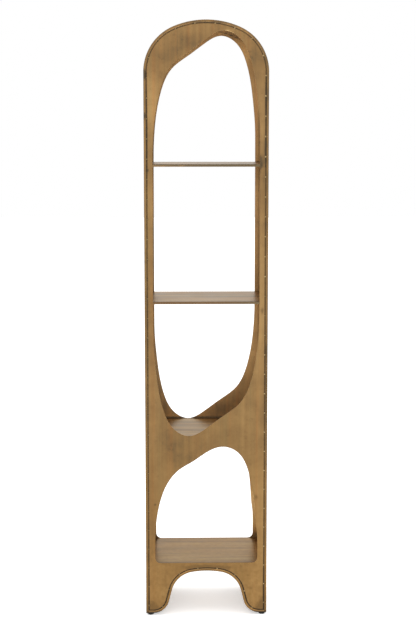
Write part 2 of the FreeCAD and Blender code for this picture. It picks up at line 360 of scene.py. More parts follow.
@dataclass(frozen=True)
class AntiqueBrass:
    """Brass plating on sheet iron, brushed and darkened by hand."""

    name: str
    grain: Grain  # which way the brushing runs
    tone: float = 0.35  # the middle of its tone, from dark patina at 0 to rubbed bright at 1; painted light and shade also move the tone along this scale
    streak: float = 0.32  # how strong the brushing shows
    drift: float = 0.5  # how strong the wide drifts of tone are
    blotch: float = 0.5  # how strong the blotches are
    crevice: float = 1.0  # how dark the crevices are
    rough: float = 0.5  # the middle of its roughness
    gain: float = 0.79  # how bright the plating is beside the listed tones
    inside: Triple = (2.3, 2.3, 2.4)  # painted light: how much brighter the faces that look in are coloured, standing in for light that reaches the rack's inside, in red, green and blue
    spots: float = 0.1  # how strong the small dark spots are
    mottle: float = 1.2  # how strong the small blotches low down are
    gather: float = 1.0  # how strongly the dark patina spreads out of the crevices low down
    clean_inside: float = 0.5  # how much of the dark patina the inside lacks
    hues: float = 0.25  # how far the streaks turn red or green
    edge_tint: Colour = (1.0, 0.95, 0.86, 1)  # colour of its reflection at a low angle
    marks: tuple[Mark, ...] = ()

    # Colours along the tone.
    tones: ClassVar[tuple[tuple[float, Colour], ...]] = (
        (0.0, (0.090, 0.064, 0.036, 1)), (0.3, (0.215, 0.129, 0.054, 1)), (0.5, (0.285, 0.174, 0.071, 1)),
        (0.75, (0.375, 0.240, 0.098, 1)), (1.0, (0.50, 0.345, 0.160, 1)))
    grime: ClassVar[Colour] = (0.016, 0.012, 0.008, 1)  # colour of the dark patina in the crevices
    worn: ClassVar[Colour] = (0.345, 0.185, 0.060, 1)  # colour of the rubbed corners
    golden: ClassVar[Colour] = (0.330, 0.178, 0.056, 1)  # colour of the warmer plating low down
    golden_share: ClassVar[float] = 0.5  # how strong that plating shows
    # Where that warmer plating lies, about the floor's middle.
    gilding: ClassVar[dict[str, Feed]] = {"Reach": (2.0, 2.0, 0.75), "Ragged": 0.2, "Grit": 12.0}
    # Where the dark patina lies that spreads low down.
    spread: ClassVar[dict[str, Feed]] = {"Distance": 0.02, "Start": 0.02, "Full": 0.25}
    spot_size: ClassVar[float] = 0.016  # size of the small spots and blotches, in metres
    spot_range: ClassVar[Pair] = (0.55, 0.75)  # where in their pattern the spots start and are full
    hair_share: ClassVar[float] = 0.35  # how strong the hairlines are beside the streaks
    cast_width: ClassVar[float] = 0.6  # how dense the coloured streaks are beside the others
    # Where in its pattern a streak's cast starts and is full, and the cast.
    casts: ClassVar[tuple[tuple[float, float, Triple], ...]] = (
        (0.52, 0.68, (1.25, 0.92, 0.78)), (0.48, 0.32, (0.72, 0.92, 1.0)))
    # How far blotches, hairlines and dark patina swing the roughness.
    rough_swings: ClassVar[Triple] = (0.16, 0.12, 0.2)
    grime_dulls: ClassVar[float] = 0.5  # how far the dark patina hides the metal
    relief: ClassVar[Triple] = (0.25, 0.4, 0.15)  # how high the hairlines, the streaks and the specks stand
    bump: ClassVar[Pair] = (0.25, 0.0002)  # that relief's strength, and its height in metres

    def dimmed(self, colour: Colour) -> Colour:
        """A listed colour at the plating's own brightness."""
        return tuple(channel * self.gain for channel in colour[:3]) + (1.0,)

    def toned(self, sheet: Surface, value: Feed) -> Socket:
        """Gives a tone its colour.

        Args:
            sheet: The material.
            value: The tone, 0 to 1.

        Returns:
            The socket of the colour.
        """
        colours = sheet.add("ShaderNodeValToRGB", {0: value})
        stops = colours.color_ramp.elements
        while len(stops) < len(self.tones):
            stops.new(1.0)
        for stop, (place, colour) in zip(stops, self.tones):
            stop.position = place
            stop.color = self.dimmed(colour)
        return colours.outputs[0]

    def uneven(self, sheet: Surface, brush: Outputs, cloud: Outputs, low: Feed, inward: Feed) -> Socket:
        """Sums up the tone: brushing, drifts, blotches, spots and the placed marks, among which are painted
        light and shade.

        Args:
            sheet: The material.
            brush: The brushed grain.
            cloud: The patina.
            low: The mask of the foot.
            inward: The mask of the faces that look in.

        Returns:
            The socket of the tone, 0 to 1.
        """
        small = Patina().place(sheet, **{"Blotch size": self.spot_size})["Blotch"]
        swings = ((brush["Streak"], self.streak), (brush["Hair"], self.streak * self.hair_share),
                  (cloud["Drift"], self.drift), (cloud["Blotch"], self.blotch))
        tone = sheet.total(self.tone, sheet.times(sheet.ramp(small, *self.spot_range), -self.spots),
                           sheet.times(low, sheet.centred(small, self.mottle)),
                           *(sheet.centred(pattern, swing) for pattern, swing in swings))
        for mark in self.marks:
            shape = {"Centre": mark.centre, "Reach": mark.reach, "Ragged": mark.ragged, "Grit": mark.grit}
            mask = SoftMark().mask(sheet, **shape)
            if mark.inside:
                mask = sheet.times(mask, inward)
            tone = sheet.total(tone, sheet.times(mask, mark.lift))
        return tone

    def cast(self, sheet: Surface, colour: Feed) -> Socket:
        """Turns some streaks of the brushing red and others green.

        Args:
            sheet: The material.
            colour: The colour before.

        Returns:
            The socket of the colour after.
        """
        wide = tuple(self.cast_width * share for share in self.grain.value)
        hue = BrushedGrain().place(sheet, Density=wide)["Streak"]
        for start, full, cast in self.casts:
            share = sheet.times(sheet.ramp(hue, start, full), self.hues)
            colour = sheet.blend(share, colour, sheet.vector("MULTIPLY", colour, cast))
        return colour

    def grimy(self, sheet: Surface, low: Feed, inward: Feed) -> Socket:
        """Finds the dark patina of the crevices, which spreads low down and is thinner inside.

        Args:
            sheet: The material.
            low: The mask of the foot.
            inward: The mask of the faces that look in.

        Returns:
            The socket of the patina's mask.
        """
        wide = sheet.times(Crevice().mask(sheet, **self.spread), sheet.times(low, self.gather))
        shut = sheet.times(sheet.math("MAXIMUM", Crevice().mask(sheet), wide), self.crevice)
        return sheet.times(shut, sheet.total(1.0, sheet.times(inward, -self.clean_inside)))

    def material(self) -> Material:
        """Builds the finish.

        Returns:
            The material.
        """
        sheet = Surface(self.name)
        brush = BrushedGrain().place(sheet, Density=self.grain.value)
        cloud = Patina().place(sheet)
        gilt = SoftMark().mask(sheet, **self.gilding)
        low = sheet.times(gilt, gilt)
        inward = Inward().mask(sheet)
        colour = self.cast(sheet, self.toned(sheet, self.uneven(sheet, brush, cloud, low, inward)))
        colour = sheet.blend(sheet.times(gilt, self.golden_share), colour, self.dimmed(self.golden))
        # Painted light: the faces that look in take a brighter colour.
        colour = sheet.blend(inward, colour, sheet.vector("MULTIPLY", colour, self.inside))
        rubbed = sheet.times(EdgeWear().mask(sheet), cloud["Blotch"])
        colour = sheet.blend(rubbed, colour, self.dimmed(self.worn))
        grimy = self.grimy(sheet, low, inward)
        by_blotch, by_hair, by_grime = self.rough_swings
        rough = sheet.total(self.rough, sheet.centred(cloud["Blotch"], by_blotch),
                            sheet.centred(brush["Hair"], by_hair), sheet.times(grimy, by_grime))
        patterns = (brush["Hair"], brush["Streak"], cloud["Speck"])
        height = sheet.total(*(sheet.times(pattern, rise) for pattern, rise in zip(patterns, self.relief)))
        return sheet.finish({
            "Base Color": sheet.blend(grimy, colour, self.grime),
            "Specular Tint": self.edge_tint,
            "Roughness": rough,
            "Metallic": sheet.total(1.0, sheet.times(grimy, -self.grime_dulls)),
            "Normal": sheet.bumps(height, *self.bump),
        })


@dataclass(frozen=True)
class Finish:
    """A finish with a patterned colour, uneven roughness and fine bumps."""

    name: str = ""
    blotch_size: float = 0.004
    speck_size: float = 0.001  # size of its bumps, in metres
    rough: float = 0.5  # the middle of its roughness
    rough_swing: float = 0.25
    rough_layer: str = "Blotch"  # which pattern swings the roughness
    metallic: float = 1.0  # whether it is metal
    shine: float = 0.5  # how much it mirrors if it isn't metal
    bump: Pair = (0.4, 0.0003)  # the bumps' strength, and their height in metres

    def colour(self, sheet: Surface, cloud: Outputs) -> Socket:
        """Draws the colour in a material from its blotches and specks."""
        raise NotImplementedError

    def material(self) -> Material:
        """Builds the finish.

        Returns:
            The material.
        """
        sheet = Surface(self.name)
        cloud = Patina().place(sheet, **{"Blotch size": self.blotch_size, "Speck size": self.speck_size})
        return sheet.finish({
            "Base Color": self.colour(sheet, cloud),
            "Roughness": sheet.total(self.rough, sheet.centred(cloud[self.rough_layer], self.rough_swing)),
            "Metallic": self.metallic,
            "Specular IOR Level": self.shine,
            "Normal": sheet.bumps(cloud["Speck"], *self.bump),
        })


@dataclass(frozen=True)
class WeldBead(Finish):
    """Small weld beads, the plating on them rubbed bright."""

    name: str = "Weld bead"
    rough: float = 0.42
    rough_swing: float = 0.3
    rough_layer: str = "Speck"
    bright: Colour = (0.37, 0.27, 0.14, 1)  # the rubbed top
    dull: Colour = (0.17, 0.115, 0.05, 1)  # the darker foot
    bright_range: Pair = (0.35, 0.6)  # where in the blotches the rubbed top starts and is full
    stained: Colour = (0.10, 0.070, 0.034, 1)  # the beads that were left dark, towards the left
    stain: float = 0.7  # how far those beads are stained
    stain_range: Pair = (0.02, -0.08)  # where along X the stain starts and is full
    foot_reach: float = 0.003  # how far up the darker foot reaches
    foot_share: float = 0.6  # how strong it shows

    def colour(self, sheet: Surface, cloud: Outputs) -> Socket:
        """Draws bright tops, dull feet and the stain.

        Args:
            sheet: The material.
            cloud: Its blotches and specks.

        Returns:
            The socket of the colour.
        """
        shut = Crevice().mask(sheet, Distance=self.foot_reach)
        colour = sheet.blend(sheet.ramp(cloud["Blotch"], *self.bright_range), self.dull, self.bright)
        across = sheet.add("ShaderNodeSeparateXYZ", {0: sheet.place}).outputs["X"]
        colour = sheet.blend(sheet.ramp(across, *self.stain_range, 0.0, self.stain), colour, self.stained)
        return sheet.blend(sheet.times(shut, self.foot_share), colour, self.dull)


@dataclass(frozen=True)
class ZincSteel(Finish):
    """Bright zinc plating on the screws and nuts."""

    name: str = "Zinc steel"
    blotch_size: float = 0.003
    speck_size: float = 0.0006
    rough: float = 0.28
    rough_swing: float = 0.2
    bump: Pair = (0.2, 0.0001)
    bright: Colour = (0.62, 0.63, 0.65, 1)  # clean zinc
    dull: Colour = (0.42, 0.43, 0.45, 1)  # zinc with white bloom
    dirt: Colour = (0.09, 0.09, 0.09, 1)  # dirt in the corners
    dirt_reach: float = 0.002  # how far the dirt reaches

    def colour(self, sheet: Surface, cloud: Outputs) -> Socket:
        """Draws clean and dull zinc with dirt in its corners."""
        clean = sheet.blend(cloud["Blotch"], self.bright, self.dull)
        return sheet.blend(Crevice().mask(sheet, Distance=self.dirt_reach), clean, self.dirt)


@dataclass(frozen=True)
class BlackMoulding(Finish):
    """Black moulded plastic or rubber with a fine sparked texture and pale dust."""

    blotch_size: float = 0.006
    speck_size: float = 0.0006
    metallic: float = 0.0
    shine: float = 0.25
    bump: Pair = (0.35, 0.00015)
    clean: Colour = (0.005, 0.005, 0.005, 1)  # the clean colour
    dust: Colour = (0.022, 0.021, 0.019, 1)  # the dusty colour
    dust_range: Pair = (0.5, 0.8)  # where in the blotches the dust starts and is full
    dust_share: float = 0.5  # how strong the dust shows
    edge: float = 0.0006  # radius of the rubbed edges
    edge_share: float = 0.35  # how strong they show

    def colour(self, sheet: Surface, cloud: Outputs) -> Socket:
        """Draws black with dust in patches and on the edges.

        Args:
            sheet: The material.
            cloud: Its blotches and specks.

        Returns:
            The socket of the colour.
        """
        patches = sheet.ramp(cloud["Blotch"], *self.dust_range, 0.0, self.dust_share)
        rubbed = sheet.times(EdgeWear().mask(sheet, Radius=self.edge), self.edge_share)
        return sheet.blend(sheet.total(patches, rubbed), self.clean, self.dust)


def cad(name: str) -> Piece:
    """The CAD node of a name."""
    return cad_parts[name]


def middle(name: str) -> Vector:
    """The middle of a CAD node's box."""
    low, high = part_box(name)
    return (low + high) / 2


def dress(piece: Piece, material: Material) -> Piece:
    """Gives a piece one material all over.

    Args:
        piece: The piece.
        material: Its material.

    Returns:
        The piece.
    """
    if not piece.material_slots:
        piece.data.materials.append(material)
    for place in piece.material_slots:
        place.material = material
    return piece


def named(piece: Piece, name: str) -> Piece:
    """Names a piece and its mesh alike, and returns the piece."""
    piece.name = piece.data.name = name
    return piece


def start_piece(add: Callable[..., set], name: str, **sizes: object) -> Piece:
    """Adds a primitive by itself and opens it in edit mode.

    Args:
        add: The operator that adds it.
        name: The piece's name.
        **sizes: The operator's sizes and place.

    Returns:
        The new piece.
    """
    bpy.ops.object.select_all(action="DESELECT")
    add(**sizes)
    piece = named(bpy.context.active_object, name)
    bpy.ops.object.mode_set(mode="EDIT")
    return piece


def start_cylinder(name: str, sides: int, radius: float, low: float, high: float) -> Piece:
    """Adds a cylinder about the vertical through the origin, from one height to another, in edit mode."""
    return start_piece(bpy.ops.mesh.primitive_cylinder_add, name, vertices=sides, radius=radius,
                       depth=high - low, location=(0, 0, (low + high) / 2))


def pick(piece: Piece, kind: str, test: Callable[[object], bool]) -> None:
    """Selects just the vertices, edges or faces that pass a test.

    Args:
        piece: The piece in edit mode.
        kind: VERT, EDGE or FACE.
        test: Says which ones are wanted.
    """
    bpy.ops.mesh.select_mode(type=kind)
    bpy.ops.mesh.select_all(action="DESELECT")
    mesh = bmesh.from_edit_mesh(piece.data)
    members = {"VERT": mesh.verts, "EDGE": mesh.edges, "FACE": mesh.faces}[kind]
    for member in members:
        member.select_set(bool(test(member)))
    mesh.select_flush_mode()
    bmesh.update_edit_mesh(piece.data)


def pick_end(piece: Piece, up: int) -> None:
    """Selects a cylinder's flat top, or its bottom if up is -1."""
    pick(piece, "FACE", lambda face: up * face.normal.z > LEVEL and len(face.verts) > QUAD)


def round_ends(piece: Piece, offset: float) -> None:
    """Rounds the rims of a cylinder's top and bottom.

    Args:
        piece: The cylinder in edit mode.
        offset: Width of the rounding.
    """
    pick(piece, "FACE", lambda face: abs(face.normal.z) > LEVEL)
    bpy.ops.mesh.region_to_loop()
    bpy.ops.mesh.bevel(offset=offset, segments=RIM_STEPS, affect="EDGES")


def raise_end(height: float) -> None:
    """Draws the selected face up."""
    bpy.ops.mesh.extrude_region_move(TRANSFORM_OT_translate={"value": (0, 0, height)})


def end_piece(piece: Piece, smooth_degrees: float = 35.0) -> Piece:
    """Closes a piece: merges doubles, turns its faces outwards, shades it and settles its place in the mesh.

    Args:
        piece: The piece in edit mode.
        smooth_degrees: Edges sharper than this stay sharp.

    Returns:
        The piece.
    """
    bpy.ops.mesh.select_all(action="SELECT")
    bpy.ops.mesh.remove_doubles(threshold=DOUBLES)
    bpy.ops.mesh.normals_make_consistent(inside=False)
    bpy.ops.object.mode_set(mode="OBJECT")
    bpy.ops.object.transform_apply(location=True, rotation=True, scale=True)
    bpy.ops.object.shade_smooth_by_angle(angle=math.radians(smooth_degrees))
    return piece


def copy_to(piece: Piece, name: str, place: Matrix) -> Piece:
    """Copies a piece with a mesh of its own and moves that mesh.

    Args:
        piece: What is copied.
        name: The copy's name.
        place: Where the copy's mesh goes.

    Returns:
        The copy.
    """
    copy = piece.copy()
    copy.data = piece.data.copy()
    copy.data.transform(place)
    bpy.context.scene.collection.objects.link(copy)
    return named(copy, name)


def join_pieces(pieces: list[Piece], name: str) -> Piece:
    """Joins pieces into one.

    Args:
        pieces: What is joined.
        name: The joined piece's name.

    Returns:
        The joined piece.
    """
    bpy.ops.object.select_all(action="DESELECT")
    for piece in pieces:
        piece.select_set(True)
    bpy.context.view_layer.objects.active = pieces[0]
    bpy.ops.object.join()
    return named(bpy.context.active_object, name)


@dataclass
class Panels:
    """The bars and pierced panels of the two faces, and the sheets that close the rack between them."""

    front: float = -0.15  # where the front face lies along Y
    inner: float = 0.1455  # where the back panel's inside lies along Y
    front_depth: float = 0.02  # how deep the marks of the front face reach
    inner_depth: float = 0.012  # how deep the marks of the inside reach
    # How far the painted shade in the corners at the back of the bottom shelf reaches.
    corner_shade_reach: Triple = (0.020, 0.060, 0.026)
    corner_shade_lift: float = -0.90  # tone of that painted shade beside the sheet's own

    def on_front(self, ragged: float, grit: float, *rows: Row) -> tuple[Mark, ...]:
        """Places marks on the front face; a row is X, Z, reach along X, reach along Z and lift."""
        return tuple(Mark((x, self.front, z), (wide, self.front_depth, tall), lift, ragged, grit)
                     for x, z, wide, tall, lift in rows)

    def on_inside(self, ragged: float, grit: float, *rows: Row) -> tuple[Mark, ...]:
        """Places marks on the back panel's inside, in rows as on the front."""
        return tuple(Mark((x, self.inner, z), (wide, self.inner_depth, tall), lift, ragged, grit, True)
                     for x, z, wide, tall, lift in rows)

    def front_marks(self) -> tuple[Mark, ...]:
        """Lists the marks of the front face, on bars and panel alike: stains, heat marks and grime, and the
        left upright made lighter and the right one darker.

        Returns:
            The marks, each placed in metres.
        """
        spots = self.on_front(
            0.9, 90, (0.169, 1.499, 0.020, 0.040, -0.55), (0.181, 1.021, 0.008, 0.016, -0.35),
            (0.164, 0.402, 0.009, 0.012, -0.30), (0.138, 0.136, 0.012, 0.010, -0.30),
            (0.145, 0.0915, 0.014, 0.010, -0.28), (-0.169, 0.377, 0.006, 0.006, -0.40),
            (-0.188, 1.475, 0.006, 0.008, -0.50))
        toes = self.on_front(
            0.7, 90, (-0.188, 0.016, 0.044, 0.046, -1.10), (0.190, 0.020, 0.034, 0.060, -1.00))
        heat = self.on_front(
            0.5, 90, (0.1905, 0.09, 0.008, 0.11, -0.50), (-0.197, 1.778, 0.012, 0.026, -0.45),
            (-0.197, 1.648, 0.008, 0.018, -0.40))
        # The left upright lighter and the right one darker.
        bars = self.on_front(0.3, 20, (-0.196, 1.40, 0.014, 0.26, 0.14), (0.196, 0.72, 0.014, 0.26, -0.14))
        grooves = self.on_front(
            0.4, 90, (0.1895, 1.70, 0.0045, 0.11, -0.70), (0.1895, 1.55, 0.0045, 0.11, -0.70),
            (-0.1895, 1.58, 0.005, 0.24, -0.50))
        crown = self.on_front(0.4, 40, (0.0, 1.941, 0.15, 0.008, -0.20))
        foot_arch = self.on_front(0.7, 60, (0.0, 0.163, 0.11, 0.012, -0.90))
        return spots + toes + heat + bars + grooves + crown + foot_arch

    def painted_light_and_shade(self) -> tuple[Mark, ...]:
        """Lists painted light and shade: the lighter and darker patches of the panels, the painted shadow
        lines and glint in the head, and the painted shade where shelves meet the back panel.

        Returns:
            The marks, each placed in metres.
        """
        # Painted shadow: dark lines under the ledge of the back arch bar, on the back panel's inside in the
        # head.
        ledge = ((0.032, 1.928), (0.046, 1.931), (0.059, 1.929), (0.076, 1.925), (0.093, 1.918),
                 (0.110, 1.910))
        ledge_shadow = self.on_inside(0.1, 90, *((x, z, 0.013, 0.0036, -0.6) for x, z in ledge))
        # Painted highlight: a thin glint and a lighter patch on the front panel above the head's cut edge.
        bright = ((0.066, 1.9153), (0.074, 1.9118), (0.082, 1.9083))
        glint = self.on_front(0.1, 90, *((x, z, 0.008, 0.0026, 1.2) for x, z in bright))
        glint += self.on_front(0.3, 90, (0.072, 1.915, 0.024, 0.009, 0.25))
        # Painted light and shade on the back panel's inside: lighter at the top right and low on the right,
        # darker in the low V and up the left side.
        inside = self.on_inside(
            0.3, 20, (0.140, 1.865, 0.055, 0.075, 0.34), (0.060, 0.635, 0.100, 0.070, -0.22),
            (-0.128, 0.635, 0.050, 0.070, -0.16), (0.165, 0.92, 0.050, 0.22, 0.06),
            (0.160, 0.79, 0.050, 0.10, 0.26), (0.170, 0.28, 0.060, 0.13, 1.00),
            (-0.165, 1.20, 0.060, 0.80, -0.26))
        # Painted shade where the third shelf meets the back panel, and in the low corners by the bottom
        # shelf.
        shelf_junction_shade = self.on_inside(0.3, 60, (0.0, 0.6095, 0.300, 0.007, -0.70))
        shelf_junction_shade += self.on_inside(0.6, 60, (0.172, 0.188, 0.030, 0.024, -0.90))
        shelf_junction_shade += (Mark((-0.172, self.inner, 0.190), (0.026, 0.020, 0.030), -0.50, 0.6, 60, True),)
        # Painted light and shade on the front face: broad lighter and darker patches.
        outside = self.on_front(
            0.3, 20, (0.176, 1.66, 0.030, 0.16, 0.12), (-0.175, 0.33, 0.040, 0.20, -0.09),
            (-0.110, 0.56, 0.080, 0.09, -0.09), (-0.172, 1.70, 0.045, 0.13, 0.30),
            (-0.175, 1.38, 0.03, 0.15, 0.12), (-0.06, 1.88, 0.09, 0.05, -0.16),
            (-0.11, 1.84, 0.10, 0.07, -0.10), (0.186, 0.33, 0.060, 0.30, 0.30),
            (0.176, 0.95, 0.032, 0.32, 0.26), (0.176, 1.27, 0.030, 0.18, 0.16),
            (0.165, 0.08, 0.060, 0.11, 0.18), (-0.165, 0.08, 0.060, 0.11, 0.14))
        return ledge_shadow + glint + inside + shelf_junction_shade + outside

    def corner_shade(self) -> tuple[Mark, ...]:
        """Lists the painted shade in the corners inside the side sheets, at the back of the bottom shelf.

        Returns:
            The marks, each placed in metres.
        """
        low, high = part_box("bottom_shelf")
        return tuple(Mark((x, self.inner, high.z), self.corner_shade_reach, self.corner_shade_lift, 0.6, 60, True)
                     for x in (low.x, high.x))

    def build(self) -> list[Piece]:
        """Dresses the nodes, which keep their own shapes.

        Returns:
            The dressed nodes.
        """
        front_marks = self.front_marks()
        panel = AntiqueBrass("Brass panel", Grain.UPRIGHT, streak=0.36, hues=0.3,
                             marks=front_marks + self.painted_light_and_shade())
        bar = AntiqueBrass("Brass bar", Grain.UPRIGHT, tone=0.27, blotch=0.6, marks=front_marks)
        # The side sheets' faces that look in take painted light at a lower gain, and painted shade in the
        # corners.
        side = AntiqueBrass("Brass side", Grain.UPRIGHT, inside=(1.5, 1.5, 1.6), marks=self.corner_shade())
        panel, bar, side = (finish.material() for finish in (panel, bar, side))
        dressed = []
        for face in FACES:
            dressed.append(dress(cad(f"{face}_panel"), panel))
            dressed += [dress(cad(f"{face}_{name}"), bar) for name in RIM]
        return dressed + [dress(cad(name), side) for name in SHEETS]


@dataclass
class Shelves:
    """The four folded shelves."""

    # How far back the darkening of each shelf's front lip reaches: patina, with painted shade on the fold.
    lip_depths: Row = (5.0 * MM, 5.0 * MM, 5.0 * MM, 16.0 * MM)
    lip_height: float = 40.0 * MM  # how far down it reaches
    lip_spread: float = 4.0  # how far it reaches sideways, in widths of the shelf
    lip_lifts: Row = (-0.55, -0.95, -0.8, -1.4)  # tone of each shelf's lip beside the shelf's own
    end_light_reach: Triple = (0.055, 0.3, 0.05)  # how far the painted light on the right end of the bottom shelf reaches
    end_light_lift: float = 0.8  # tone of that painted light beside the shelf's own

    def marks(self) -> tuple[Mark, ...]:
        """Lists the darkening along the front lips, patina with painted shade, and the painted light on the
        right end of the bottom shelf.

        Returns:
            The marks, each placed in metres.
        """
        marks = []
        for name, deep, lift in zip(SHELVES, self.lip_depths, self.lip_lifts):
            low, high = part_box(name)
            reach = (self.lip_spread * (high.x - low.x), deep, self.lip_height)
            marks.append(Mark((0, low.y, high.z), reach, lift, 0.2))
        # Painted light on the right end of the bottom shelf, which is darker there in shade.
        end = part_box("bottom_shelf")[1]
        marks.append(Mark((end.x, 0, end.z), self.end_light_reach, self.end_light_lift, 0.3, 20))
        return tuple(marks)

    def build(self) -> list[Piece]:
        """Dresses the nodes, which keep their own shapes.

        Returns:
            The dressed nodes.
        """
        brass = AntiqueBrass("Brass shelf", Grain.ACROSS, tone=0.45, streak=2.1, rough=0.34, gain=1.0,
                             hues=0.6, crevice=0.3, gather=0.0, inside=(1, 1, 1),
                             edge_tint=(1.0, 0.965, 0.90, 1), marks=self.marks()).material()
        return [dress(cad(name), brass) for name in SHELVES]


@dataclass
class TackWelds:
    """Rows of small weld beads across the groove between the bars and the panels."""

    across: float = 4.8 * MM  # diameter of a bead
    rise: float = 1.0 * MM  # how far a bead stands out of the groove
    segments: int = 10
    rings: int = 6
    lumpy: float = 0.3 * MM  # how uneven a bead is
    lumpy_normal: float = 0.7  # how much of that is in or out rather than aside
    lumpy_seed: int = 3
    smooth_degrees: float = 60.0  # edges of a bead sharper than this stay sharp
    smallest: float = 0.8  # size of the smallest bead beside the model
    size_swing: float = 0.35  # how much bigger the biggest one is

    def bead(self) -> Piece:
        """Models one bead about the origin, its top towards -Y.

        Returns:
            The bead.
        """
        bead = start_piece(bpy.ops.mesh.primitive_uv_sphere_add, "tack_bead", segments=self.segments,
                           ring_count=self.rings, radius=self.across / 2)
        bpy.ops.mesh.select_all(action="SELECT")
        flat = 2 * self.rise / self.across
        bpy.ops.transform.resize(value=(1, flat, 1), center_override=(0, 0, 0))
        bpy.ops.transform.vertex_random(offset=self.lumpy, uniform=1 - self.lumpy_normal,
                                        normal=self.lumpy_normal, seed=self.lumpy_seed)
        return end_piece(bead, self.smooth_degrees)

    def places(self, node: str) -> list[Vector]:
        """Finds the middle of each tack in a CAD node.

        Args:
            node: The node that holds a face's tacks.

        Returns:
            Their middles, in order of height.
        """
        tacks: list[list[Vector]] = []
        for point in cad(node).data.vertices:
            near = (tack for tack in tacks if (tack[0] - point.co).length < 2 * self.across)
            home = next(near, None)
            if home is None:
                tacks.append([point.co.copy()])
            else:
                home.append(point.co.copy())
        middles = [(Vector(map(min, zip(*tack))) + Vector(map(max, zip(*tack)))) / 2 for tack in tacks]
        return sorted(middles, key=lambda spot: (round(spot.z, 4), spot.x))

    def build(self) -> list[Piece]:
        """Models the beads of both faces.

        Returns:
            One piece for each face.
        """
        model = self.bead()
        finish = WeldBead().material()
        rows = []
        for face in FACES:
            node = f"{face}_tack_welds"
            copies = []
            low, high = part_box(node)
            outer = low.y if face == "front" else high.y
            for count, spot in enumerate(self.places(node)):
                turn = Matrix.Rotation(noise.random() * math.tau, 4, "Y")
                size = self.smallest + self.size_swing * noise.random()
                at = Matrix.Translation((spot.x, outer, spot.z))
                copies.append(copy_to(model, f"{face}_bead_{count}", at @ turn @ Matrix.Scale(size, 4)))
            row = join_pieces(copies, f"{face}_weld_beads")
            dress(row, finish)
            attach(row, RACK)
            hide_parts(node)
            rows.append(row)
        bpy.data.objects.remove(model)
        return rows


@dataclass(frozen=True)
class StudSizes:
    """What the CAD stud and the spigot it turns on measure."""

    radius: float  # radius of the shank
    flat: float  # half the head's width across flats
    corner: float  # half the head's width across corners
    low: float  # height of the head's underside
    head_top: float  # height of the head's top
    high: float  # height of the shank's end
    spigot: float  # radius of the sole's spigot
    spigot_top: float  # height of the spigot's end


